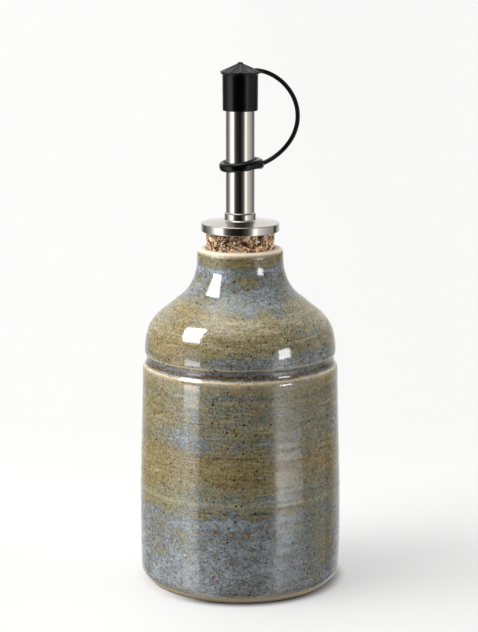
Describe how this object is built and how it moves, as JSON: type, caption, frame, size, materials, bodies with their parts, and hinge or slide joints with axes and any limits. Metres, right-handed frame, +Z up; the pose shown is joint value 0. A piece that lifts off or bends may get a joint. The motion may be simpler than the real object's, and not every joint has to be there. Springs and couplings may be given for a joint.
{
  "type": "oil cruet",
  "caption": "Hand-thrown stoneware oil bottle with a round shoulder, a cork stopper with a steel pouring spout, and a black rubber cap tethered to the spout by a strap and ring.",
  "frame": {"origin": "centre of the bottle's foot, on the surface it stands on", "axes": "+Z up along the bottle's axis, -Y towards the front, +X towards the strap's side"},
  "size_m": [0.0808, 0.0808, 0.2075],
  "materials": {
    "glazed_stoneware": "glossy speckled glaze, olive, cream and blue-grey, over buff clay that is bare at the foot",
    "cork": "pressed cork granules with small open pores",
    "steel": "polished, with faint turning marks",
    "black_rubber": "moulded, satin"
  },
  "bodies": {
    "root": {"bottle": "glazed_stoneware", "cork_stopper": "cork", "pour_spout": "steel", "cap_and_strap": "black_rubber"}
  },
  "joints": []
}
